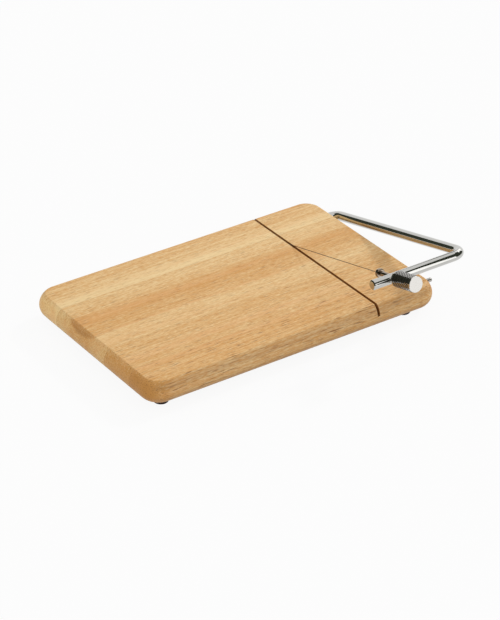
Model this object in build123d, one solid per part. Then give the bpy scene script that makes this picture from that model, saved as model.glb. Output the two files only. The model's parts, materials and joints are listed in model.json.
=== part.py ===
from build123d import *
import os

# Cheese slicer: a laminated wooden board with a groove across it, and a chromed
# bow that swings a taut wire down into the groove. Millimetres, +Z up, X along
# the board, Y from the near long edge to the far one.

# Board
BOARD_LENGTH = 270.0
BOARD_WIDTH = 175.0
BOARD_THICKNESS = 20.0
CORNER_RADIUS = 17.0
TOP_CROWN = 5.2
UNDER_CROWN = 7.5
EDGE_EASE = 1.2
STRIP_SHARES = (0.18, 0.20, 0.20, 0.20, 0.22)

# Groove that the wire drops into
GROOVE_FROM_RIGHT = 60.9
GROOVE_WIDTH = 2.3
GROOVE_FLOOR = 11.2

# Bow: one round rod, its far leg is the pivot shaft
ROD_DIAMETER = 8.0
FAR_BEND_RADIUS = 8.0
NEAR_BEND_RADIUS = 11.0
ROD_END_CHAMFER = 0.8
BOW_ANGLE = 14.2
SHAFT_FROM_FAR_EDGE = 25.7
SHAFT_FROM_TOP = 8.0
SHAFT_PAST_GROOVE = 14.0
SHAFT_CLEARANCE = 0.05
BORE_END_ROOM = 1.0
BACK_ROD_GAP = 3.5
LEG_FROM_NEAR_EDGE = 22.2
LEG_PAST_GROOVE = 21.1

# Cutting wire, the bead that anchors it in the shaft, and its hole there
WIRE_DIAMETER = 0.5
WIRE_HOLE_DIAMETER = 1.0
CRIMP_FIT = 0.01
BEAD_DIAMETER = 2.6
BEAD_LENGTH = 1.6
BEAD_SEAT_FROM_AXIS = 1.0
COUNTERBORE_DIAMETER = 3.0

# Draw screw, which carries the wire's outer end through the near leg
HEAD_DIAMETER = 7.4
HEAD_LENGTH = 4.2
HEAD_DOME = 2.2
HEAD_EASE = 0.6
HEAD_FROM_NEAR_EDGE = 1.3
WIRE_SOCKET_DEPTH = 3.0
SCREW_DIAMETER = 4.0
SCREW_CLEARANCE = 0.05
SCREW_IN_KNOB = 12.0

# Tension knob, a long nut on the draw screw
KNOB_DIAMETER = 13.0
KNOB_LENGTH = 24.0
KNOB_CHAMFER = 0.7
KNOB_FACE_GAP = 0.1
KNOB_BORE_ROOM = 4.0

# Stop pin in the right end, on which the bow comes down
PIN_DIAMETER = 3.5
PIN_DEPTH = 15.0
PIN_REACH = 6.5
PIN_FROM_NEAR_EDGE = 21.0
PIN_TIP_ROUND = 0.8
PIN_FIT = 0.01

# Rubber feet and the screws that hold them
FOOT_DIAMETER = 12.6
FOOT_HEIGHT = 4.0
FOOT_TAPER = 0.5
FOOT_EDGE_ROUND = 0.8
FOOT_FROM_LEFT = 17.5
FOOT_FROM_RIGHT = 25.8
FOOT_FROM_SIDE = 15.0
RECESS_DIAMETER = 6.6
RECESS_DEPTH = 2.2
FOOT_SCREW_HEAD_DIAMETER = 5.6
FOOT_SCREW_HEAD_HEIGHT = 1.6
FOOT_SCREW_HEAD_EASE = 0.4
FOOT_SCREW_DIAMETER = 3.0
FOOT_SCREW_TIP = 1.5
FOOT_SCREW_FIT = 0.01
FOOT_HOLE_CLEARANCE = 0.1
CROSS_WIDTH = 0.9
CROSS_DEPTH = 0.8
CROSS_SPAN_SHARE = 0.6
WOOD_UNDER_BORE = 1.5

# How far cutting tools run past the faces that they cut
OVERRUN = 2.0

# Places worked out from the sizes above
ROD_RADIUS = ROD_DIAMETER / 2
GROOVE_X = BOARD_LENGTH - GROOVE_FROM_RIGHT
SHAFT_Y = BOARD_WIDTH - SHAFT_FROM_FAR_EDGE
SHAFT_Z = BOARD_THICKNESS - SHAFT_FROM_TOP
SHAFT_TIP_X = GROOVE_X - SHAFT_PAST_GROOVE
BACK_ROD_X = BOARD_LENGTH + BACK_ROD_GAP + ROD_RADIUS
LEG_TIP_X = GROOVE_X - LEG_PAST_GROOVE
LEG_REACH = SHAFT_Y + LEG_FROM_NEAR_EDGE
HEAD_REACH = SHAFT_Y + HEAD_FROM_NEAR_EDGE
KNOB_REACH = LEG_REACH + ROD_RADIUS + KNOB_FACE_GAP
FOOT_SCREW_BITE = SHAFT_Z - ROD_RADIUS - SHAFT_CLEARANCE - WOOD_UNDER_BORE


def rim_section():
    """Upright section of the board's rim: flat above and below, bowed out, edges eased."""
    middle = (CORNER_RADIUS, BOARD_THICKNESS / 2)
    upper = (CORNER_RADIUS - TOP_CROWN, BOARD_THICKNESS)
    under = (CORNER_RADIUS - UNDER_CROWN, 0)
    outline = [
        Line((0, 0), under),
        TangentArc(middle, under, tangent=(0, -1)),
        TangentArc(middle, upper, tangent=(0, 1)),
        Line(upper, (0, BOARD_THICKNESS)),
        Line((0, BOARD_THICKNESS), (0, 0)),
    ]
    section = make_face(outline)
    inner_first = section.vertices().sort_by(Axis.X)
    return fillet(inner_first[2:-1], EDGE_EASE)


def board_blank():
    """Board before any cut: a plain core with the rim along its sides and round its corners."""
    straight_length = BOARD_LENGTH - 2 * CORNER_RADIUS
    straight_width = BOARD_WIDTH - 2 * CORNER_RADIUS
    middle = (BOARD_LENGTH / 2, BOARD_WIDTH / 2)
    left, right = CORNER_RADIUS, BOARD_LENGTH - CORNER_RADIUS
    near, far = CORNER_RADIUS, BOARD_WIDTH - CORNER_RADIUS
    rim = Plane.XZ * rim_section()
    corner = revolve(rim, Axis.Z, 90)
    end = extrude(rim, straight_width / 2, both=True)
    side = extrude(rim, straight_length / 2, both=True)
    blank = Pos(*middle, BOARD_THICKNESS / 2) * Box(straight_length, straight_width, BOARD_THICKNESS)
    blank += Pos(right, middle[1], 0) * end
    blank += Pos(middle[0], far, 0) * Rot(0, 0, 90) * side
    blank += Pos(left, middle[1], 0) * Rot(0, 0, 180) * end
    blank += Pos(middle[0], near, 0) * Rot(0, 0, 270) * side
    for turn, x, y in ((0, right, far), (90, left, far), (180, left, near), (270, right, near)):
        blank += Pos(x, y, 0) * Rot(0, 0, turn) * corner
    return blank


def rod_along_x(radius, start, end, y, z):
    """Round bar or drill along X from start to end."""
    bar = Cylinder(radius, end - start, align=(Align.CENTER, Align.CENTER, Align.MIN))
    return Pos(start, y, z) * Rot(0, 90, 0) * bar


def rod_along_reach(radius, start, end):
    """Round bar or drill in the wire's line, from start to end, measured from the shaft axis."""
    bar = Cylinder(radius, end - start, align=(Align.CENTER, Align.CENTER, Align.MIN))
    return Pos(GROOVE_X, -start, 0) * Rot(90, 0, 0) * bar


def foot_places():
    """Centre of each foot with the words that name it."""
    ends = {"left": FOOT_FROM_LEFT, "right": BOARD_LENGTH - FOOT_FROM_RIGHT}
    sides = {"near": FOOT_FROM_SIDE, "far": BOARD_WIDTH - FOOT_FROM_SIDE}
    return {f"{side}_{end}": (x, y) for end, x in ends.items() for side, y in sides.items()}


def groove_cut():
    """Slot across the whole board, from above down to its floor."""
    depth = BOARD_THICKNESS - GROOVE_FLOOR + OVERRUN
    slot = Box(
        GROOVE_WIDTH,
        BOARD_WIDTH + 2 * OVERRUN,
        depth,
        align=(Align.CENTER, Align.CENTER, Align.MIN),
    )
    return Pos(GROOVE_X, BOARD_WIDTH / 2, GROOVE_FLOOR) * slot


def shaft_bore():
    """Blind hole from the right end, past the groove, in which the shaft turns."""
    return rod_along_x(
        ROD_RADIUS + SHAFT_CLEARANCE,
        SHAFT_TIP_X - BORE_END_ROOM,
        BOARD_LENGTH + OVERRUN,
        SHAFT_Y,
        SHAFT_Z,
    )


def pin_hole():
    """Blind hole for the stop pin in the right end."""
    start = BOARD_LENGTH - PIN_DEPTH
    end = BOARD_LENGTH + OVERRUN
    return rod_along_x(PIN_DIAMETER / 2 + PIN_FIT, start, end, PIN_FROM_NEAR_EDGE, SHAFT_Z)


def foot_screw_shank(fit=0.0):
    """Pointed shank above the underside of the board, or with a fit its pilot hole."""
    radius = FOOT_SCREW_DIAMETER / 2 + fit
    straight = FOOT_SCREW_BITE - FOOT_SCREW_TIP
    up = (Align.CENTER, Align.CENTER, Align.MIN)
    tip = Cone(radius, radius / 2, FOOT_SCREW_TIP + fit, align=up)
    return Cylinder(radius, straight, align=up) + Pos(0, 0, straight) * tip


def machined_board():
    """Board with its groove, bore, pin hole and the pilot holes of the foot screws."""
    board = board_blank() - groove_cut() - shaft_bore() - pin_hole()
    for x, y in foot_places().values():
        board -= Pos(x, y, 0) * foot_screw_shank(FOOT_SCREW_FIT)
    return board


def board_strips():
    """The board's glued strips, from the near edge to the far one."""
    board = machined_board()
    strips = {}
    start = 0.0
    for number, share in enumerate(STRIP_SHARES, start=1):
        width = BOARD_WIDTH * share
        stave = Box(
            BOARD_LENGTH + 2 * OVERRUN,
            width,
            BOARD_THICKNESS + 2 * OVERRUN,
            align=(Align.CENTER, Align.MIN, Align.CENTER),
        )
        place = Pos(BOARD_LENGTH / 2, start, BOARD_THICKNESS / 2)
        strips[f"board_strip_{number}"] = board & (place * stave)
        start += width
    return strips


def bow_rod():
    """U-shaped rod lying flat, shaft axis on X, near leg towards -Y."""
    path = FilletPolyline(
        (SHAFT_TIP_X, 0),
        (BACK_ROD_X, 0),
        (BACK_ROD_X, -LEG_REACH),
        (LEG_TIP_X, -LEG_REACH),
        radius=[FAR_BEND_RADIUS, NEAR_BEND_RADIUS],
    )
    start = Plane(origin=(SHAFT_TIP_X, 0, 0), z_dir=(1, 0, 0))
    rod = sweep(start * Circle(ROD_RADIUS), path=path)
    legs = rod.edges().filter_by(GeomType.CIRCLE).group_by(Axis.Y)
    tips = legs[0].sort_by(Axis.X)[:1] + legs[-1].sort_by(Axis.X)[:1]
    return chamfer(tips, ROD_END_CHAMFER)


def drilled_bow():
    """Bow rod with the wire's hole and counterbore in the shaft and the screw's hole in the leg."""
    outside = ROD_RADIUS + OVERRUN
    bow = bow_rod()
    bow -= rod_along_reach(WIRE_HOLE_DIAMETER / 2, -BEAD_SEAT_FROM_AXIS, outside)
    bow -= rod_along_reach(COUNTERBORE_DIAMETER / 2, -outside, -BEAD_SEAT_FROM_AXIS)
    screw_hole = rod_along_reach(
        SCREW_DIAMETER / 2 + SCREW_CLEARANCE, LEG_REACH - outside, LEG_REACH + outside
    )
    return bow - screw_hole


def cutting_wire():
    """Straight wire from the back of its bead to the floor of the screw's socket."""
    start = -BEAD_SEAT_FROM_AXIS - BEAD_LENGTH
    return rod_along_reach(WIRE_DIAMETER / 2, start, HEAD_REACH + WIRE_SOCKET_DEPTH)


def wire_bead():
    """Crimped bead that seats in the shaft's counterbore."""
    start = -BEAD_SEAT_FROM_AXIS - BEAD_LENGTH
    bead = rod_along_reach(BEAD_DIAMETER / 2, start, -BEAD_SEAT_FROM_AXIS)
    hole = rod_along_reach(WIRE_DIAMETER / 2 + CRIMP_FIT, start - OVERRUN, OVERRUN)
    return bead - hole


def draw_screw():
    """Screw with a domed head: wire socket in the dome, shank through the leg into the knob."""
    head_end = HEAD_REACH + HEAD_LENGTH
    head = rod_along_reach(HEAD_DIAMETER / 2, HEAD_REACH, head_end)
    head = fillet(head.edges().filter_by(GeomType.CIRCLE).sort_by(Axis.Y)[-1:], HEAD_DOME)
    head = fillet(head.edges().filter_by(GeomType.CIRCLE).sort_by(Axis.Y)[:1], HEAD_EASE)
    shank = rod_along_reach(SCREW_DIAMETER / 2, head_end, KNOB_REACH + SCREW_IN_KNOB)
    socket = rod_along_reach(
        WIRE_DIAMETER / 2 + CRIMP_FIT, HEAD_REACH - OVERRUN, HEAD_REACH + WIRE_SOCKET_DEPTH
    )
    return head + shank - socket


def tension_knob():
    """Long round nut with a blind bore for the draw screw."""
    knob = rod_along_reach(KNOB_DIAMETER / 2, KNOB_REACH, KNOB_REACH + KNOB_LENGTH)
    knob = chamfer(knob.edges().filter_by(GeomType.CIRCLE), KNOB_CHAMFER)
    bore = rod_along_reach(
        SCREW_DIAMETER / 2 + SCREW_CLEARANCE,
        KNOB_REACH - OVERRUN,
        KNOB_REACH + SCREW_IN_KNOB + KNOB_BORE_ROOM,
    )
    return knob - bore


def stop_pin():
    """Round pin with an eased tip, reaching under the back rod."""
    start = BOARD_LENGTH - PIN_DEPTH
    end = BOARD_LENGTH + PIN_REACH
    pin = rod_along_x(PIN_DIAMETER / 2, start, end, PIN_FROM_NEAR_EDGE, SHAFT_Z)
    tip = pin.edges().filter_by(GeomType.CIRCLE).sort_by(Axis.X)[-1:]
    return fillet(tip, PIN_TIP_ROUND)


def rubber_foot():
    """Tapered foot under the board's underside, with a recess for the screw head."""
    down = (Align.CENTER, Align.CENTER, Align.MAX)
    low = (Align.CENTER, Align.CENTER, Align.MIN)
    radius = FOOT_DIAMETER / 2
    foot = Cone(radius - FOOT_TAPER, radius, FOOT_HEIGHT, align=down)
    rim = foot.edges().filter_by(GeomType.CIRCLE).sort_by(Axis.Z)[:1]
    foot = fillet(rim, FOOT_EDGE_ROUND)
    hole = Cylinder(FOOT_SCREW_DIAMETER / 2 + FOOT_HOLE_CLEARANCE, FOOT_HEIGHT, align=down)
    recess = Cylinder(RECESS_DIAMETER / 2, RECESS_DEPTH, align=low)
    return foot - hole - Pos(0, 0, -FOOT_HEIGHT) * recess


def foot_screw():
    """Pan-head screw with a cross slot, its head seated in the foot's recess."""
    down = (Align.CENTER, Align.CENTER, Align.MAX)
    low = (Align.CENTER, Align.CENTER, Align.MIN)
    seat_z = RECESS_DEPTH - FOOT_HEIGHT
    head = Cylinder(FOOT_SCREW_HEAD_DIAMETER / 2, FOOT_SCREW_HEAD_HEIGHT, align=down)
    rim = head.edges().filter_by(GeomType.CIRCLE).sort_by(Axis.Z)[:1]
    head = fillet(rim, FOOT_SCREW_HEAD_EASE)
    span = FOOT_SCREW_HEAD_DIAMETER * CROSS_SPAN_SHARE
    slot = Box(span, CROSS_WIDTH, CROSS_DEPTH, align=low)
    cross = Pos(0, 0, -FOOT_SCREW_HEAD_HEIGHT) * (slot + Rot(0, 0, 90) * slot)
    neck = Cylinder(FOOT_SCREW_DIAMETER / 2, -seat_z, align=down)
    return Pos(0, 0, seat_z) * (head - cross) + neck + foot_screw_shank()


def raised(piece):
    """A piece of the flat bow, put on the shaft axis and swung up to the resting angle."""
    return Pos(0, SHAFT_Y, SHAFT_Z) * Rot(-BOW_ANGLE, 0, 0) * piece


def all_nodes():
    """Every piece under its own name, with the near left corner of the board at zero."""
    nodes = board_strips()
    nodes["stop_pin"] = stop_pin()
    screws = Part()
    for name, (x, y) in foot_places().items():
        nodes[f"foot_{name}"] = Pos(x, y, 0) * rubber_foot()
        screws += Pos(x, y, 0) * foot_screw()
    nodes["foot_screws"] = screws
    nodes["bow_rod"] = raised(drilled_bow())
    nodes["cutting_wire"] = raised(cutting_wire())
    nodes["wire_bead"] = raised(wire_bead())
    nodes["draw_screw"] = raised(draw_screw())
    nodes["tension_knob"] = raised(tension_knob())
    return nodes


def frame_shift(nodes):
    """Move that puts the middle of the whole slicer's footprint at zero, feet on Z = 0."""
    boxes = [shape.bounding_box() for shape in nodes.values()]
    low_x = min(box.min.X for box in boxes)
    high_x = max(box.max.X for box in boxes)
    low_y = min(box.min.Y for box in boxes)
    high_y = max(box.max.Y for box in boxes)
    low_z = min(box.min.Z for box in boxes)
    return Pos(-(low_x + high_x) / 2, -(low_y + high_y) / 2, -low_z)


os.makedirs("parts", exist_ok=True)
slicer = all_nodes()
shift = frame_shift(slicer)
for node, shape in slicer.items():
    export_step(shift * shape, f"parts/{node}.step")
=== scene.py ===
"""Finishes, knurled knob and studio for a wooden cheese slicer with a swinging wire bow."""

import json
import math

import bmesh
import bpy
from bpy.props import FloatProperty, FloatVectorProperty, IntProperty, PointerProperty
from mathutils import Matrix, Vector


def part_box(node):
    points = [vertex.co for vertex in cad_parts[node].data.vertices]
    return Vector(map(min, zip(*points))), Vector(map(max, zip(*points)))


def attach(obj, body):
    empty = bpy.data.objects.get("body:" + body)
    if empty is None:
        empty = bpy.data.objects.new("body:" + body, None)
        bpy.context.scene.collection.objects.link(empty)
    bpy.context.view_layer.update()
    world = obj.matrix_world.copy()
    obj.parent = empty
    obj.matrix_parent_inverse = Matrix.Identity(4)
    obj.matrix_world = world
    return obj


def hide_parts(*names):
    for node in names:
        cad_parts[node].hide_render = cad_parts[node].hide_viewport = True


bl_info = {
    "name": "Cheese slicer",
    "version": (1, 0, 0),
    "blender": (4, 5, 0),
    "location": "3D View > Sidebar > Slicer",
    "description": "Finishes the board, the chromed bow and the knurled knob of a cheese slicer",
    "category": "Object",
}

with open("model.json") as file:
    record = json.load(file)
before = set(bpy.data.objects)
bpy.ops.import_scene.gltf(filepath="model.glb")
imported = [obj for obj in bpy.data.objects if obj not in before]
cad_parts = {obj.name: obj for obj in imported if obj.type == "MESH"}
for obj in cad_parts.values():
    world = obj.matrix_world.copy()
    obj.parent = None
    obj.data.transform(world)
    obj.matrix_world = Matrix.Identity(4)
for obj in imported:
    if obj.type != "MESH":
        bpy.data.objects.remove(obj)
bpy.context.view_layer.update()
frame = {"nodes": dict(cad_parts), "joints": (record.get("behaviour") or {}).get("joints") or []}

STRIPS = [f"board_strip_{number}" for number in range(1, 6)]
FEET = ["foot_near_left", "foot_far_left", "foot_near_right", "foot_far_right"]
MM = 0.001

# Middle of a pattern that runs from 0 to 1
MIDDLE = 0.5
# Detail and roughness of a noise
FLAT = (1, 0.5)
SOFT = (2, 0.5)
CRISP = (3, 0.6)
DUSTY = (4, 0.65)
HARSH = (4, 0.7)
# Sockets of the Mix node when it mixes colours
MIX_FACTOR, MIX_FIRST, MIX_SECOND, MIX_RESULT = 0, 6, 7, 2


def linear(red, green, blue):
    """A colour given as it looks on a screen, from 0 to 255, as Blender's linear colour."""
    shares = [level / 255 for level in (red, green, blue)]
    return tuple(s / 12.92 if s <= 0.04045 else ((s + 0.055) / 1.055) ** 2.4 for s in shares)


def joint(name):
    """The record's joint of that name."""
    return next(entry for entry in frame["joints"] if entry["name"] == name)


# Where things are, read from the frame
board_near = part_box(STRIPS[0])[0].y
board_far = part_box(STRIPS[-1])[1].y
board_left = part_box(STRIPS[0])[0].x
board_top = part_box(STRIPS[1])[1].z
board_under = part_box(STRIPS[1])[0].z
groove_x = joint("knob_turn")["pos_m"][0]
knob_seat = Vector(joint("knob_turn")["pos_m"])
knob_axis = Vector(joint("knob_turn")["axis"]).normalized()
knob_low, knob_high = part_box("tension_knob")
knob_diameter = knob_high.x - knob_low.x
knob_length = (knob_high.y - knob_low.y - knob_diameter * abs(knob_axis.z)) / abs(knob_axis.y)


class Signal:
    """One output of a shader node, which takes part in plain arithmetic."""

    def __init__(self, shade, socket):
        self.shade = shade
        self.socket = socket

    def math(self, operation, *terms):
        """The result of a math node on those terms."""
        return self.shade.node("ShaderNodeMath", {"operation": operation}, dict(enumerate(terms)))

    def __add__(self, other):
        return self.math("ADD", self, other)

    def __sub__(self, other):
        return self.math("SUBTRACT", self, other)

    def __rsub__(self, other):
        return self.math("SUBTRACT", other, self)

    def __mul__(self, other):
        return self.math("MULTIPLY", self, other)

    def __truediv__(self, other):
        return self.math("DIVIDE", self, other)

    def __abs__(self):
        return self.math("ABSOLUTE", self)


class Shade:
    """A node tree, with one method that adds any node to it."""

    def __init__(self, tree, made=None):
        self.tree = tree
        self.made = made
        tree.nodes.clear()

    @classmethod
    def material(cls, name):
        """A new material of that name, with its tree empty."""
        made = bpy.data.materials.new(name)
        made.use_nodes = True
        return cls(made.node_tree, made)

    def node(self, kind, settings=None, sockets=None, output=0):
        """Adds a node: its settings first, then the values or links of its sockets."""
        node = self.tree.nodes.new(kind)
        for name, value in (settings or {}).items():
            if name == "stops":
                self.set_stops(node.color_ramp.elements, value)
            else:
                setattr(node, name, value)
        for name, value in (sockets or {}).items():
            if isinstance(value, Signal):
                self.tree.links.new(value.socket, node.inputs[name])
            else:
                node.inputs[name].default_value = value
        return Signal(self, node.outputs[output]) if node.outputs else None

    @staticmethod
    def set_stops(elements, stops):
        """Puts a ramp's stops in place, each a position and a level of grey."""
        last = len(stops) - 1
        for index, (position, level) in enumerate(stops):
            if index in (0, last):
                element = elements[0 if index == 0 else -1]
                element.position = position
            else:
                element = elements.new(position)
            element.color = (level, level, level, 1)

    def place(self):
        """Where the shaded point is on the piece, in metres."""
        return self.node("ShaderNodeTexCoord", output="Object")

    def split(self, vector):
        """The three parts of a vector."""
        parts = self.node("ShaderNodeSeparateXYZ", sockets={0: vector})
        outputs = parts.socket.node.outputs
        return [Signal(self, socket) for socket in outputs]

    def join(self, x, y, z):
        """A vector made of three parts."""
        return self.node("ShaderNodeCombineXYZ", sockets={0: x, 1: y, 2: z})

    def stretch(self, vector, scale, shift=(0, 0, 0)):
        """The vector scaled along each axis and then moved."""
        return self.node(
            "ShaderNodeMapping", sockets={"Vector": vector, "Scale": scale, "Location": shift}
        )

    def noise(self, vector, size, texture=SOFT):
        """Smooth noise from 0 to 1 with features of about that size, in metres."""
        detail, roughness = texture
        sockets = {"Vector": vector, "Scale": 1 / size, "Detail": detail, "Roughness": roughness}
        return self.node("ShaderNodeTexNoise", sockets=sockets)

    def smooth(self, value, low, high):
        """0 below low, 1 above high, and a smooth step between them."""
        sockets = {"Value": value, "From Min": low, "From Max": high}
        return self.node("ShaderNodeMapRange", {"interpolation_type": "SMOOTHSTEP"}, sockets)

    def mix(self, factor, first, second, blend="MIX"):
        """A blend of two colours."""
        sockets = {MIX_FACTOR: factor}
        for socket, tint in ((MIX_FIRST, first), (MIX_SECOND, second)):
            sockets[socket] = tint if isinstance(tint, Signal) else (*tint, 1)
        settings = {"data_type": "RGBA", "blend_type": blend}
        return self.node("ShaderNodeMix", settings, sockets, output=MIX_RESULT)

    def bump(self, height, depth):
        """The surface's normal with that relief, its full height given in metres."""
        return self.node("ShaderNodeBump", sockets={"Height": height, "Distance": depth})

    def surface(self, sockets):
        """Ends the material in a Principled shader."""
        shader = self.node("ShaderNodeBsdfPrincipled", sockets=sockets)
        self.node("ShaderNodeOutputMaterial", sockets={"Surface": shader})
        return self.made


def length(name, description, default):
    """A size of the panel, in metres."""
    return FloatProperty(
        name=name, description=description, default=default, min=0, unit="LENGTH", precision=5
    )


def share(name, description, default):
    """A share of the panel, from 0 to 1."""
    return FloatProperty(
        name=name, description=description, default=default, min=0, max=1, subtype="FACTOR"
    )


def strength(name, description, default):
    """A strength of light of the panel."""
    return FloatProperty(name=name, description=description, default=default, min=0)


def colour(name, description, red, green, blue):
    """A colour of the panel."""
    return FloatVectorProperty(
        name=name,
        description=description,
        default=linear(red, green, blue),
        min=0,
        max=1,
        subtype="COLOR",
    )


class WoodLooks(bpy.types.PropertyGroup):
    """Colours and grain of the board."""

    sapwood: colour("Sapwood", "Palest colour of the wood", 231, 201, 148)
    heartwood: colour("Heartwood", "Deepest colour of the wood", 205, 149, 80)
    blush: colour("Blush", "Rosier colour of some patches", 222, 166, 108)
    pore_colour: colour("Pore", "Colour down in the open pores", 132, 84, 42)
    end_tint: colour("End grain tint", "How the oil tints the end grain", 255, 249, 234)
    knot_colour: colour("Knot", "Colour of the dark wood at one end of two strips", 158, 100, 40)
    # Painted shade on the rounded rims of the long sides, above and below
    rim_shade_colour: colour("Rim", "Colour of the handled rims of the long sides", 150, 108, 66)
    glue_colour: colour("Glue line", "Colour of the thin joints between the strips", 176, 126, 74)
    # Partly saw scorch, partly painted shade inside the narrow groove
    groove_scorch_and_shade: colour("Groove", "Colour that the saw left in the groove", 140, 86, 38)
    ring_spacing: length("Ring spacing", "Distance from one growth ring to the next", 2.6 * MM)
    streak_width: length("Streak width", "Width of the fine streaks along the grain", 1.2 * MM)
    band_width: length("Band width", "Width of the broad soft streaks", 7 * MM)
    patch_width: length("Patch width", "Width of the short soft patches", 4 * MM)
    dash_width: length("Dash width", "Width of the short crisp dashes", 0.8 * MM)
    fleck_width: length("Fleck width", "Width of the short dark flecks", 0.8 * MM)
    pore_spacing: length("Pore spacing", "Distance between neighbouring pores", 1.1 * MM)
    wander: length("Wander", "How far the colour bands leave a straight line", 7 * MM)
    glue_width: length("Glue width", "Width of a glue line", 0.25 * MM)
    groove_width: length("Groove width", "Width of the groove for the wire", 2.3 * MM)
    groove_depth: length("Groove depth", "Depth of the groove below the board's top", 8.8 * MM)


class MetalLooks(bpy.types.PropertyGroup):
    """Colours and polish of the metal pieces."""

    chrome: colour("Chrome", "Colour of the chrome plating", 194, 193, 189)
    steel: colour("Steel", "Colour of the bare steel", 176, 172, 166)
    wire: colour("Wire", "Colour of the drawn wire", 112, 90, 68)
    # A darker, browner tint that paints the wood's reflection and shade into the screw's plating
    screw: colour("Screw", "Colour of the draw screw", 150, 136, 122)
    # Painted shade: a near-black colour for the walls of the knurl's grooves
    knurl_shade_colour: colour("Grime", "Colour of the dull walls of the knurl", 44, 40, 36)
    knob_chrome: colour("Knob chrome", "Colour of the plating round the knob", 216, 214, 209)
    knob_face: colour("Knob face", "Colour of the plating on the knob's end", 178, 176, 172)
    chrome_roughness: share("Chrome roughness", "How dull the chrome is", 0.06)
    knurl_shade_roughness: share("Grime roughness", "How dull the walls of the knurl are", 0.35)
    steel_roughness: share("Steel roughness", "How dull the bare steel is", 0.3)
    scratch_width: length("Scratch width", "Width of the fine polishing marks", 0.05 * MM)


class KnobLooks(bpy.types.PropertyGroup):
    """Sizes of the knurled tension knob."""

    diamonds: IntProperty(
        name="Diamonds", description="Knurled diamonds in one turn of the knob", default=20, min=8
    )
    knurl_depth: length("Knurl depth", "Height of a diamond above its grooves", 0.16 * MM)
    knurl_groove: length("Knurl groove", "Width of a groove's wall beside a diamond", 0.3 * MM)
    collar: length("Collar", "Width of the plain turned band at each end", 0.3 * MM)
    chamfer: length("Chamfer", "Width of the chamfer at each end", 0.3 * MM)
    bore: length("Bore", "Radius of the bore for the screw", 2.05 * MM)
    bore_depth: length("Bore depth", "Depth of the bore for the screw", 16 * MM)


class RubberLooks(bpy.types.PropertyGroup):
    """Colours of the rubber feet."""

    rubber: colour("Rubber", "Colour of the feet", 52, 34, 26)
    dust: colour("Dust", "Colour of the dust on the feet", 98, 84, 72)
    roughness: share("Roughness", "How dull the rubber is", 0.7)


class StudioLooks(bpy.types.PropertyGroup):
    """Floor, lamps, mirrored panels and camera."""

    floor_radius: length("Floor radius", "Radius of the round floor", 1.3)
    floor_colour: colour("Floor", "Colour of the floor", 214, 214, 214)
    floor_glow: share(
        "Floor glow", "How much of the floor's own shade is washed out to white", 0.92
    )
    sky: share("Sky", "Brightness of the dome over the object", 0.86)
    key: strength("Key", "Strength of the low lamp on the right", 1.1)
    flag_colour: colour("Flag", "Colour of the dark flags that the metal mirrors", 64, 68, 58)
    window: strength("Window", "Strength of the bright panels that the metal mirrors", 1.8)
    focal: FloatProperty(
        name="Focal length", description="Camera's focal length", default=146.49, unit="CAMERA"
    )
    distance: length("Camera distance", "From the camera to the point it looks at", 1.9839)


def dress(nodes, material):
    """Gives the named CAD pieces that material."""
    for name in nodes:
        for slot in frame["nodes"][name].material_slots:
            slot.material = material


# Each strip of the board, with places across it and up from the middle of its underside:
# - pith: the middle of its growth rings
# - shift: moves its noise, so that it has its own figure
# - heart_shares: how much heartwood there is, from its near edge at 0 to its far one at 1;
#   worked out from the photograph's brightness across the board, then set one by one
# - figure_share and fleck_share: how strongly its growth rings and dark flecks show
# - end_share and end_level: how much deeper its ends are in tone, and how bright
# - corner_share: how much deeper the board's near left corner is
# - knot: the middle of the dark wood on its ends, and its radius
STAVES = {
    "board_strip_1": {
        "pith": (-14 * MM, 46 * MM),
        "shift": (3.1, 0.7, 1.9),
        "heart_shares": (
            (0.0, 0.66), (0.25, 0.68), (0.45, 0.69), (0.63, 0.75), (0.82, 0.79), (1.0, 0.66),
        ),
        "figure_share": 0.6,
        "fleck_share": 1.2,
        "end_share": 0.55,
        "end_level": 0.9,
        "corner_share": 0.35,
    },
    "board_strip_2": {
        "pith": (9 * MM, -60 * MM),
        "shift": (5.3, 2.2, 0.4),
        "heart_shares": ((0.0, 0.64), (0.36, 0.58), (0.7, 0.58), (1.0, 0.5)),
        "figure_share": 0.4,
        "fleck_share": 0.8,
        "end_share": 0.25,
        "end_level": 0.98,
        "corner_share": 0.0,
    },
    "board_strip_3": {
        "pith": (22 * MM, -34 * MM),
        "shift": (1.2, 4.1, 3.3),
        "heart_shares": (
            (0.0, 0.47), (0.21, 0.37), (0.4, 0.36), (0.56, 0.53), (0.73, 0.72), (1.0, 0.73),
        ),
        "figure_share": 0.4,
        "fleck_share": 0.6,
        "end_share": 0.0,
        "end_level": 1.02,
        "corner_share": 0.0,
        "knot": (20 * MM, 49 * MM, 35.2 * MM),
    },
    "board_strip_4": {
        "pith": (-13 * MM, -34 * MM),
        "shift": (1.2, 4.1, 3.3),
        "heart_shares": ((0.0, 0.73), (0.41, 0.77), (0.585, 0.58), (0.76, 0.46), (1.0, 0.42)),
        "figure_share": 0.4,
        "fleck_share": 0.6,
        "end_share": -0.1,
        "end_level": 1.04,
        "corner_share": 0.0,
        "knot": (-15 * MM, 49 * MM, 35.2 * MM),
    },
    "board_strip_5": {
        "pith": (30 * MM, 52 * MM),
        "shift": (7.7, 1.5, 2.6),
        "heart_shares": (
            (0.0, 0.02), (0.1, 0.05), (0.25, 0.22), (0.4, 0.42), (0.6, 0.54), (1.0, 0.64),
        ),
        "figure_share": 0.4,
        "fleck_share": 0.5,
        "end_share": -0.2,
        "end_level": 1.1,
        "corner_share": 0.0,
    },
}


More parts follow.
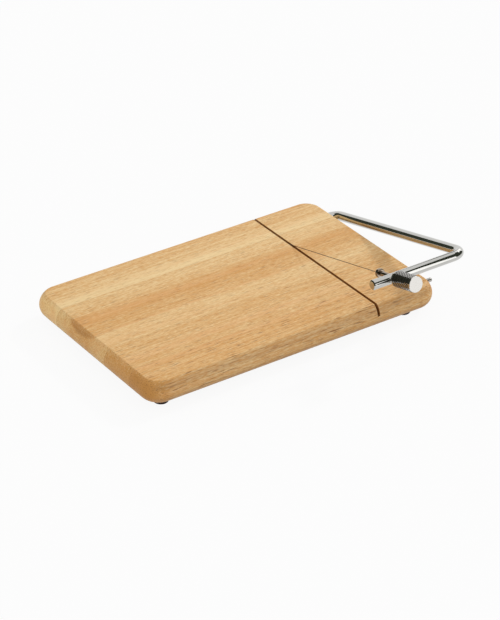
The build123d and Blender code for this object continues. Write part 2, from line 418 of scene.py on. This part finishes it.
class Wood:
    """Oiled hardwood of one strip, whose growth rings, streaks and pores run along it."""

    # Share of a noise's scale that is kept along the strip, which draws the noise out
    DRIFT = 0.25
    STUBBY = 0.2
    SHORT = 0.07
    MIDDLING = 0.03
    LONG = 0.012

    # Sizes of the noises that the panel doesn't set
    WANDER_SIZE = 60 * MM
    BLUSH_SIZE = 12 * MM
    RIPPLE_SIZE = 9 * MM
    RAGGED_SIZE = 5 * MM
    CROWD_SIZE = 3 * MM

    # Where each smooth step begins and ends
    END_FACING = (0.45, 0.9)
    LATEWOOD_RISE = (0.35, 0.9)
    LATEWOOD_FALL = (0.9, 1.0)
    TONE_STEP = (-0.1, 1.1)
    BLUSH_STEP = (0.5, 0.7)
    FLECK_STEP = (0.57, 0.72)
    CROWD_STEP = (0.36, 0.6)
    PORE_STEP = (0.1, 0.26)
    # The rims' painted shade falls where the normal leans both sideways and up or down
    RIM_UPWARD = (0.2, 0.45)
    RIM_SIDEWAYS = (0.5, 0.8)
    GLUE_STEP = (0.3, 0.6)
    CORNER_REACH = 12 * MM
    CORNER_FADE = 10 * MM
    KNOT_FADE = 2.4 * MM
    KNOT_OVERRUN = 0.2 * MM
    BESIDE_GROOVE = (0.02 * MM, 0.05 * MM)
    UNDER_TOP = (0.5 * MM, 0.1 * MM)
    UNDER_FLOOR = (0.1 * MM, 0.02 * MM)

    # How strongly each pattern tells
    RIPPLE_SHARE = 1.6
    RING_SHARE = 0.22
    BAND_SHARE = 0.42
    PATCH_SHARE = 0.3
    DASH_SHARE = 2.0
    STREAK_SHARE = 1.7
    BLUSH_SHARE = 0.35
    PORE_SHARE = 0.6
    FLECK_SHARE = 0.7
    KNOT_SHARE = 0.52
    # Strength of the painted shade on the rims
    RIM_SHARE = 0.3
    GLUE_SHARE = 0.4
    END_GLUE_SHARE = 0.4
    # Strength of the groove's scorch and painted shade
    SCORCH_AND_SHADE_SHARE = 0.8

    # The surface
    RELIEF = 0.06 * MM
    STREAK_RELIEF = 0.5
    ROUGHNESS = 0.5
    STREAK_ROUGHNESS = 0.12
    PORE_ROUGHNESS = 0.2
    SPECULAR = 0.3

    def __init__(self, name, looks):
        self.looks = looks
        self.stave = STAVES[name]
        self.low, self.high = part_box(name)
        self.middle = (self.low.y + self.high.y) / 2
        shade = self.shade = Shade.material(name)
        self.place = shade.place()
        self.x, self.y, self.z = shade.split(self.place)
        self.long_grain, self.grain, self.short_grain, self.stubby_grain = (
            shade.stretch(self.place, (kept, 1, 1), self.stave["shift"])
            for kept in (self.LONG, self.MIDDLING, self.SHORT, self.STUBBY)
        )
        normal = shade.node("ShaderNodeTexCoord", output="Normal")
        endways, self.sideways, self.upward = shade.split(normal)
        self.end_grain = shade.smooth(abs(endways), *self.END_FACING)
        self.streak = shade.noise(self.grain, looks.streak_width, HARSH) - MIDDLE
        self.pore = self.open_pores()

    def material(self):
        """The finished material."""
        body = self.streaked()
        for finish in (
            self.pored,
            self.tinted_ends,
            self.knotted,
            self.shaded_rims,
            self.glued,
            self.scorched_and_shaded,
        ):
            body = finish(body)
        streak_roughness = self.streak * self.STREAK_ROUGHNESS
        height = self.streak * self.STREAK_RELIEF - self.pore
        return self.shade.surface(
            {
                "Base Color": body,
                "Roughness": streak_roughness + self.pore * self.PORE_ROUGHNESS + self.ROUGHNESS,
                "Normal": self.shade.bump(height, self.RELIEF),
                "Specular IOR Level": self.SPECULAR,
            }
        )

    def from_line(self, across, up):
        """Distance from a line along the strip, placed from the middle of its underside."""
        outwards = self.shade.join(
            0.0, self.y - (self.middle + across), self.z - (board_under + up)
        )
        settings = {"operation": "LENGTH"}
        return self.shade.node("ShaderNodeVectorMath", settings, {0: outwards}, "Value")

    def open_pores(self):
        """1 in the open pores: dashes along the grain, and dots on the ends."""
        shade = self.shade
        sockets = {"Vector": self.short_grain, "Scale": 1 / self.looks.pore_spacing}
        cells = shade.node("ShaderNodeTexVoronoi", {}, sockets)
        crowd = shade.smooth(shade.noise(self.grain, self.CROWD_SIZE, FLAT), *self.CROWD_STEP)
        return (1 - shade.smooth(cells, *self.PORE_STEP)) * crowd

    def heartwood(self):
        """Share of heartwood, in bands that wander along the strip."""
        drift = self.shade.stretch(self.place, (self.DRIFT, 1, 1))
        wander = (self.shade.noise(drift, self.WANDER_SIZE, FLAT) - MIDDLE) * self.looks.wander
        across = (self.y + wander - self.low.y) / (self.high.y - self.low.y)
        settings = {"stops": self.stave["heart_shares"]}
        return self.shade.node("ShaderNodeValToRGB", settings, {"Fac": across})

    def latewood(self):
        """1 in the dark late wood of each growth ring round the pith."""
        shade, spacing = self.shade, self.looks.ring_spacing
        ripple = (shade.noise(self.long_grain, self.RIPPLE_SIZE) - MIDDLE) * (
            self.RIPPLE_SHARE * spacing
        )
        rings = (self.from_line(*self.stave["pith"]) + ripple) / spacing
        ring = rings.math("FRACT", rings)
        return shade.smooth(ring, *self.LATEWOOD_RISE) - shade.smooth(ring, *self.LATEWOOD_FALL)

    def near_left_corner(self):
        """1 at the board's near left corner, which soaked up more oil."""
        start = board_left + board_near + self.CORNER_REACH
        return 1 - self.shade.smooth(self.x + self.y, start, start + self.CORNER_FADE)

    def streaked(self):
        """Sapwood and heartwood with broad and fine streaks, patches, dashes and rosy bands."""
        shade, looks, stave = self.shade, self.looks, self.stave
        band = shade.noise(self.long_grain, looks.band_width) - MIDDLE
        patch = shade.noise(self.stubby_grain, looks.patch_width) - MIDDLE
        dash = shade.noise(self.stubby_grain, looks.dash_width, CRISP) - MIDDLE
        tone = self.heartwood()
        for pattern, told in (
            (band, self.BAND_SHARE),
            (patch, self.PATCH_SHARE),
            (dash, self.DASH_SHARE),
            (self.streak, self.STREAK_SHARE),
            (self.latewood() - MIDDLE, self.RING_SHARE * stave["figure_share"]),
            (self.end_grain, stave["end_share"]),
            (self.near_left_corner(), stave["corner_share"]),
        ):
            tone = tone + pattern * told
        depth = shade.smooth(tone, *self.TONE_STEP)
        body = shade.mix(depth, looks.sapwood, looks.heartwood)
        rosy = shade.smooth(shade.noise(self.long_grain, self.BLUSH_SIZE), *self.BLUSH_STEP)
        return shade.mix(rosy * self.BLUSH_SHARE, body, looks.blush)

    def pored(self, body):
        """Adds the open pores and the short dark flecks."""
        shade, looks = self.shade, self.looks
        fleck = shade.smooth(shade.noise(self.short_grain, looks.fleck_width), *self.FLECK_STEP)
        body = shade.mix(self.pore * self.PORE_SHARE, body, looks.pore_colour)
        told = fleck * self.stave["fleck_share"] * self.FLECK_SHARE
        return shade.mix(told, body, looks.pore_colour)

    def tinted_ends(self, body):
        """Tints the end grain as the oil does."""
        tint = tuple(self.stave["end_level"] * level for level in self.looks.end_tint)
        return self.shade.mix(
            self.end_grain, body, self.shade.mix(1.0, body, tint, "MULTIPLY")
        )

    def knotted(self, body):
        """Darkens the ends round a knot, if the strip has one."""
        if "knot" not in self.stave:
            return body
        shade = self.shade
        across, up, radius = self.stave["knot"]
        ragged = (shade.noise(self.place, self.RAGGED_SIZE) - MIDDLE) * self.KNOT_FADE
        reach = self.from_line(across, up) + ragged
        knot = 1 - shade.smooth(reach, radius - self.KNOT_FADE, radius + self.KNOT_OVERRUN)
        return shade.mix(knot * self.end_grain * self.KNOT_SHARE, body, self.looks.knot_colour)

    def shaded_rims(self, body):
        """Darkens the rounded rims of the long sides, above and below, with painted shade."""
        shade = self.shade
        facing_up = shade.smooth(abs(self.upward), *self.RIM_UPWARD)
        rim = facing_up * shade.smooth(abs(self.sideways), *self.RIM_SIDEWAYS)
        return shade.mix(rim * self.RIM_SHARE, body, self.looks.rim_shade_colour)

    def glued(self, body):
        """Adds the glue line where the strip meets each neighbour."""
        shade, width = self.shade, self.looks.glue_width
        inner, outer = (width * part for part in self.GLUE_STEP)
        for edge in (self.low.y, self.high.y):
            if board_near < edge < board_far:
                line = 1 - shade.smooth(abs(self.y - edge), inner, outer)
                told = self.end_grain * self.END_GLUE_SHARE + self.GLUE_SHARE
                body = shade.mix(line * told, body, self.looks.glue_colour)
        return body

    def scorched_and_shaded(self, body):
        """Darkens the walls and the floor of the groove: partly saw scorch, partly painted shade of
        the narrow slot.
        """
        shade, looks = self.shade, self.looks
        wall = looks.groove_width / 2
        floor = board_top - looks.groove_depth
        sides = (wall + part for part in self.BESIDE_GROOVE)
        beside = 1 - shade.smooth(abs(self.x - groove_x), *sides)
        below = 1 - shade.smooth(self.z, *(board_top - part for part in self.UNDER_TOP))
        above = shade.smooth(self.z, *(floor - part for part in self.UNDER_FLOOR))
        return shade.mix(beside * below * above * self.SCORCH_AND_SHADE_SHARE, body, looks.groove_scorch_and_shade)


# Polished metal: its haze is soft patches of wear, and its marks are drawn out along Y
MARK_STRETCH = (1, 0.12, 1)
MARK_DEPTH = 0.002 * MM
TURNED_DEPTH = 0.006 * MM
MARK_ROUGHNESS = 0.4
HAZE_SIZE = 9 * MM
HAZE_STEP = (0.45, 0.75)
HAZE_SHARE = 0.5
HAZE_LEVEL = 0.9
HAZE_ROUGHNESS = 0.5

# How much duller than the rod's chrome the knob and its screw are, and zinc than bare steel
SMALL_PART_DULLNESS = 1.5
ZINC_DULLNESS = 1.3


def polished(name, tint, roughness, marks, depth=MARK_DEPTH):
    """Plated or bare metal with fine marks of that width and depth from its polishing."""
    shade = Shade.material(name)
    place = shade.place()
    fine = shade.noise(shade.stretch(place, MARK_STRETCH), marks, CRISP)
    haze = shade.noise(place, HAZE_SIZE, CRISP)
    worn = shade.smooth(haze, *HAZE_STEP)
    dulled = tuple(level * HAZE_LEVEL for level in tint)
    hazed = (haze - MIDDLE) * (HAZE_ROUGHNESS * roughness)
    marked = (fine - MIDDLE) * (MARK_ROUGHNESS * roughness)
    return shade.surface(
        {
            "Base Color": shade.mix(worn * HAZE_SHARE, tuple(tint), dulled),
            "Metallic": 1.0,
            "Roughness": hazed + marked + roughness,
            "Normal": shade.bump(fine, depth),
        }
    )


# Rubber: the size of its dust and of its fine relief, and how they show
DUST_SIZE = 1.5 * MM
DUST_STEP = (0.5, 0.8)
DUST_SHARE = 0.35
DUST_ROUGHNESS = 0.2
PEBBLE_SIZE = 0.3 * MM
PEBBLE_DEPTH = 0.03 * MM
RUBBER_SPECULAR = 0.2


def dusty_rubber(name, looks):
    """Matt rubber with a little dust on it."""
    shade = Shade.material(name)
    place = shade.place()
    dust = shade.noise(place, DUST_SIZE, DUSTY)
    lying = shade.smooth(dust, *DUST_STEP) * DUST_SHARE
    return shade.surface(
        {
            "Base Color": shade.mix(lying, looks.rubber, looks.dust),
            "Roughness": dust * DUST_ROUGHNESS + (looks.roughness - DUST_ROUGHNESS / 2),
            "Normal": shade.bump(shade.noise(place, PEBBLE_SIZE), PEBBLE_DEPTH),
            "Specular IOR Level": RUBBER_SPECULAR,
        }
    )


class SLICER_OT_board(bpy.types.Operator):
    """Gives each strip of the board its own oiled wood."""

    bl_idname = "slicer.board"
    bl_label = "Finish the board"

    def execute(self, context):
        for name in STRIPS:
            dress([name], Wood(name, context.scene.slicer_wood).material())
        return {"FINISHED"}


class SLICER_OT_bow(bpy.types.Operator):
    """Chromes the bow rod and the draw screw, and finishes the wire and its bead."""

    bl_idname = "slicer.bow"
    bl_label = "Finish the bow"

    def execute(self, context):
        looks = context.scene.slicer_metal
        marks = looks.scratch_width
        gloss = looks.chrome_roughness * SMALL_PART_DULLNESS
        chrome = polished("rod_chrome", looks.chrome, looks.chrome_roughness, marks)
        # The screw's brown tint is a painted reflection of the wood
        screw = polished("screw_chrome", looks.screw, gloss, marks)
        wire = polished("wire_steel", looks.wire, looks.steel_roughness, marks)
        dress(["bow_rod"], chrome)
        dress(["draw_screw"], screw)
        dress(["cutting_wire", "wire_bead"], wire)
        return {"FINISHED"}


# Corners of the knob's mesh that lie this close are one
WELD = 0.01 * MM

# The knob's materials, by their place in its list
PLATING, GROOVE_WALLS, END_FACES = range(3)


def unit_grid(mesh, columns, rows):
    """Adds a flat grid, and returns each corner with its place on it, from 0 to 1 each way."""
    half = 0.5
    bmesh.ops.create_grid(mesh, x_segments=columns, y_segments=rows, size=half)
    return [(vert, vert.co.x + half, vert.co.y + half) for vert in mesh.verts]


def set_radius(vert, radius):
    """Moves a corner straight away from the Z axis or towards it, to that radius."""
    flat = Vector((vert.co.x, vert.co.y, 0)).normalized() * radius
    vert.co = Vector((flat.x, flat.y, vert.co.z))


def knurled_band(mesh, looks, low, high, root):
    """Wraps a diamond knurl round the Z axis between two heights, from its grooves' radius."""
    rows = round((high - low) * looks.diamonds / (math.tau * root))
    for vert, round_share, height_share in unit_grid(mesh, looks.diamonds, rows):
        angle = round_share * math.tau
        height = low + height_share * (high - low)
        vert.co = Vector((root * math.cos(angle), root * math.sin(angle), height))
    bmesh.ops.remove_doubles(mesh, verts=mesh.verts, dist=WELD)

    # The middles of two neighbouring squares and the corners between them make a diamond
    corners = set(mesh.verts)
    for vert in bmesh.ops.poke(mesh, faces=mesh.faces)["verts"]:
        set_radius(vert, root)
    squares = [e for e in mesh.edges if not e.is_boundary and set(e.verts) <= corners]
    bmesh.ops.dissolve_edges(mesh, edges=squares)
    diamonds = [face for face in mesh.faces if len(face.verts) == 4]

    # The diamonds rise from the lattice of grooves between them
    lattice = set(mesh.verts)
    walls = bmesh.ops.inset_individual(
        mesh, faces=diamonds, thickness=looks.knurl_groove, depth=0, use_even_offset=True
    )["faces"]
    for face in walls:
        face.material_index = GROOVE_WALLS
    for vert in set(mesh.verts) - lattice:
        set_radius(vert, root + looks.knurl_depth)


def rim_at(mesh, height):
    """The open edges at one end of the knob."""
    return [
        edge
        for edge in mesh.edges
        if edge.is_boundary and abs(edge.verts[0].co.z - height) < WELD
    ]


def step_rim(mesh, rim, radius, height):
    """Adds a ring of faces from an open rim to a new radius and height, and returns its new rim."""
    made = bmesh.ops.extrude_edge_only(mesh, edges=rim)["geom"]
    for part in made:
        if isinstance(part, bmesh.types.BMVert):
            set_radius(part, radius)
            part.co.z = height
    return [part for part in made if isinstance(part, bmesh.types.BMEdge)]


def settle_order(mesh):
    """Puts the edges and the faces in one order, because rings are added in a changing one."""
    mesh.verts.index_update()
    count = len(mesh.verts)

    def order(part):
        lowest = sorted(vert.index for vert in part.verts)[:3]
        return sum(index / count**place for place, index in enumerate(lowest))

    mesh.edges.sort(key=order)
    mesh.faces.sort(key=order)


def knob_mesh(looks):
    """The knob with its bore, seated on the bow's near leg."""
    outer = knob_diameter / 2
    root = outer - looks.knurl_depth
    low = looks.collar + looks.chamfer
    high = knob_length - low
    mesh = bmesh.new()
    knurled_band(mesh, looks, low, high, root)
    for start, end in ((low, 0.0), (high, knob_length)):
        inwards = 1 if end > start else -1
        rim = step_rim(mesh, rim_at(mesh, start), root, end - inwards * looks.chamfer)
        rim = step_rim(mesh, rim, outer - looks.chamfer, end)
        if end == 0.0:
            rim = step_rim(mesh, rim, looks.bore, end)
            rim = step_rim(mesh, rim, looks.bore, looks.bore_depth)
        for face in bmesh.ops.edgeloop_fill(mesh, edges=rim)["faces"]:
            face.material_index = END_FACES
    turn = Vector((0, 0, 1)).rotation_difference(knob_axis).to_matrix().to_4x4()
    bmesh.ops.transform(mesh, matrix=Matrix.Translation(knob_seat) @ turn, verts=mesh.verts)
    bmesh.ops.recalc_face_normals(mesh, faces=mesh.faces)
    settle_order(mesh)
    return mesh


def add_object(name, data):
    """Adds an object to the scene."""
    thing = bpy.data.objects.new(name, data)
    bpy.context.scene.collection.objects.link(thing)
    return thing


def add_mesh(name, mesh, materials):
    """Turns a bmesh into an object with those materials."""
    data = bpy.data.meshes.new(name)
    mesh.to_mesh(data)
    mesh.free()
    for material in materials:
        data.materials.append(material)
    return add_object(name, data)


class SLICER_OT_knob(bpy.types.Operator):
    """Builds the tension knob with its diamond knurl, plain ends and bore."""

    bl_idname = "slicer.knob"
    bl_label = "Build the knob"

    def execute(self, context):
        metal = context.scene.slicer_metal
        marks = metal.scratch_width
        gloss = metal.chrome_roughness * SMALL_PART_DULLNESS
        materials = [
            polished("knob_chrome", metal.knob_chrome, gloss, marks),
            # The walls of the knurl's grooves get painted shade
            polished("knurl_painted_shade", metal.knurl_shade_colour, metal.knurl_shade_roughness, marks),
            polished("knob_face", metal.knob_face, gloss, marks, TURNED_DEPTH),
        ]
        mesh = knob_mesh(context.scene.slicer_knob)
        knob = add_mesh("tension_knob_knurled", mesh, materials)
        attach(knob, "knob")
        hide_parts("tension_knob")
        return {"FINISHED"}


class SLICER_OT_fittings(bpy.types.Operator):
    """Finishes the stop pin, the rubber feet and the screws that hold them."""

    bl_idname = "slicer.fittings"
    bl_label = "Finish the fittings"

    def execute(self, context):
        looks = context.scene.slicer_metal
        marks = looks.scratch_width
        dull = looks.steel_roughness * ZINC_DULLNESS
        dress(["stop_pin"], polished("pin_steel", looks.steel, looks.steel_roughness, marks))
        dress(["foot_screws"], polished("screw_steel", looks.steel, dull, marks))
        dress(FEET, dusty_rubber("foot_rubber", context.scene.slicer_rubber))
        return {"FINISHED"}


# Azimuths go from the far side round to the right, and elevations up from the floor.
# The camera is the photograph's: it looks at this point from this side and height.
CAMERA_TARGET = Vector((1.98 * MM, 15.28 * MM, 4.0 * MM))
CAMERA_AZIMUTH = math.radians(180 + 34.55)
CAMERA_ELEVATION = math.radians(30.94)
CAMERA_NEAREST = 10 * MM
KEY_AZIMUTH = math.radians(82)
KEY_ELEVATION = math.radians(33)
KEY_SIZE = math.radians(6)
FLOOR_SIDES = 96
PANEL_COLUMNS, PANEL_ROWS = 24, 12
WHITE = (1, 1, 1, 1)

# Panels that the metal mirrors, each a patch of a ball round the board: its radius in metres,
# its azimuths and elevations in degrees, and whether it is a bright window or a dark flag
PANELS = {
    "flag_left": (0.5, (-178, 12), (0, 78), False),
    "flag_right": (1.1, (84, 152), (0, 51), False),
    "flag_corner": (1.1, (43, 51), (20, 33), False),
    "window_right": (1.1, (55, 77), (16, 39), True),
    "window_near_right": (0.45, (138, 176), (0, 31), True),
}


def towards(azimuth, elevation):
    """The direction at that azimuth and elevation, of length 1."""
    flat = math.cos(elevation)
    return Vector((flat * math.sin(azimuth), flat * math.cos(azimuth), math.sin(elevation)))


def between(ends, part):
    """The angle that lies that part of the way between two others, given in degrees."""
    return math.radians(ends[0] + part * (ends[1] - ends[0]))


def staged(name, mesh, material):
    """Turns a bmesh into an object with that material."""
    thing = add_mesh(name, mesh, [material])
    return thing


class SLICER_OT_stage(bpy.types.Operator):
    """Sets the floor, the panels, the lamps, the white surroundings and the camera."""

    bl_idname = "slicer.stage"
    bl_label = "Set the stage"

    def execute(self, context):
        looks = context.scene.slicer_studio
        self.lay_floor(looks)
        self.hang_panels(looks)
        self.light_dome(looks)
        self.hang_key(looks)
        self.place_camera(looks)
        context.scene.view_settings.view_transform = "Standard"
        return {"FINISHED"}

    def lay_floor(self, looks):
        """A round floor that looks white, and still takes the object's shadow."""
        shade = Shade.material("floor_white")
        lit = shade.node("ShaderNodeBsdfDiffuse", {}, {"Color": (*looks.floor_colour, 1)})
        glow = shade.node("ShaderNodeEmission", {}, {"Color": WHITE, "Strength": 1.0})
        washed = self.unlit_rays(shade) * looks.floor_glow
        floor = shade.node("ShaderNodeMixShader", {}, {0: washed, 1: lit, 2: glow})
        shade.node("ShaderNodeOutputMaterial", sockets={"Surface": floor})
        mesh = bmesh.new()
        bmesh.ops.create_circle(
            mesh, cap_ends=True, segments=FLOOR_SIDES, radius=looks.floor_radius
        )
        staged("floor", mesh, shade.made)

    @staticmethod
    def unlit_rays(shade):
        """1 for the rays that show the surroundings straight, mirrored or through glass."""
        path = shade.node("ShaderNodeLightPath").socket.node.outputs
        straight, mirrored, through = (
            Signal(shade, path[name])
            for name in ("Is Camera Ray", "Is Glossy Ray", "Is Transmission Ray")
        )
        seen = straight.math("MAXIMUM", straight, mirrored)
        return seen.math("MAXIMUM", seen, through)

    @staticmethod
    def hang_panels(looks):
        """Dark flags and bright windows, which only the metal mirrors."""
        for name, (radius, azimuths, elevations, bright) in PANELS.items():
            shade = Shade.material(name)
            tint = WHITE if bright else (*looks.flag_colour, 1)
            power = looks.window if bright else 1.0
            glow = shade.node("ShaderNodeEmission", {}, {"Color": tint, "Strength": power})
            shade.node("ShaderNodeOutputMaterial", sockets={"Surface": glow})
            mesh = bmesh.new()
            for vert, across, up in unit_grid(mesh, PANEL_COLUMNS, PANEL_ROWS):
                vert.co = towards(between(azimuths, across), between(elevations, up)) * radius
            panel = staged(name, mesh, shade.made)
            panel.visible_camera = False
            panel.visible_diffuse = False
            panel.visible_transmission = False
            panel.visible_shadow = False

    def light_dome(self, looks):
        """White surroundings, which light the object a little less than they show."""
        world = bpy.data.worlds.new("studio")
        bpy.context.scene.world = world
        world.use_nodes = True
        shade = Shade(world.node_tree)
        seen = self.unlit_rays(shade)
        power = seen + (1 - seen) * looks.sky
        dome = shade.node("ShaderNodeBackground", {}, {"Color": WHITE, "Strength": power})
        shade.node("ShaderNodeOutputWorld", sockets={"Surface": dome})

    @staticmethod
    def hang_key(looks):
        """The low lamp on the right."""
        lamp = bpy.data.lights.new("key", "SUN")
        lamp.energy = looks.key
        lamp.angle = KEY_SIZE
        key = add_object("key", lamp)
        turned = towards(KEY_AZIMUTH, KEY_ELEVATION).to_track_quat("Z", "Y")
        key.rotation_euler = turned.to_euler()

    @staticmethod
    def place_camera(looks):
        """The photograph's camera."""
        lens = bpy.data.cameras.new("camera")
        lens.lens = looks.focal
        lens.clip_start = CAMERA_NEAREST
        camera = add_object("camera", lens)
        back = towards(CAMERA_AZIMUTH, CAMERA_ELEVATION)
        camera.location = CAMERA_TARGET + back * looks.distance
        camera.rotation_euler = (math.pi / 2 - CAMERA_ELEVATION, 0, math.pi - CAMERA_AZIMUTH)
        bpy.context.scene.camera = camera


class SLICER_PT_tools(bpy.types.Panel):
    """Lists what can be built and finished, with its sizes and colours."""

    bl_label = "Cheese slicer"
    bl_idname = "SLICER_PT_tools"
    bl_space_type = "VIEW_3D"
    bl_region_type = "UI"
    bl_category = "Slicer"

    def draw(self, context):
        for step, looks in SECTIONS:
            box = self.layout.box()
            box.operator(step.bl_idname)
            group = getattr(context.scene, looks)
            for name in group.bl_rna.properties.keys():
                if name not in {"rna_type", "name"}:
                    box.prop(group, name)


LOOKS = {
    "slicer_wood": WoodLooks,
    "slicer_metal": MetalLooks,
    "slicer_knob": KnobLooks,
    "slicer_rubber": RubberLooks,
    "slicer_studio": StudioLooks,
}
SECTIONS = (
    (SLICER_OT_board, "slicer_wood"),
    (SLICER_OT_bow, "slicer_metal"),
    (SLICER_OT_knob, "slicer_knob"),
    (SLICER_OT_fittings, "slicer_rubber"),
    (SLICER_OT_stage, "slicer_studio"),
)
CLASSES = (
    *LOOKS.values(),
    SLICER_OT_board,
    SLICER_OT_bow,
    SLICER_OT_knob,
    SLICER_OT_fittings,
    SLICER_OT_stage,
    SLICER_PT_tools,
)


def register():
    for cls in CLASSES:
        bpy.utils.register_class(cls)
    for name, group in LOOKS.items():
        setattr(bpy.types.Scene, name, PointerProperty(type=group))


def unregister():
    for name in LOOKS:
        delattr(bpy.types.Scene, name)
    for cls in reversed(CLASSES):
        bpy.utils.unregister_class(cls)


def main():
    register()
    bpy.ops.slicer.board()
    bpy.ops.slicer.bow()
    bpy.ops.slicer.knob()
    bpy.ops.slicer.fittings()
    bpy.ops.slicer.stage()


if __name__ == "__main__":
    main()
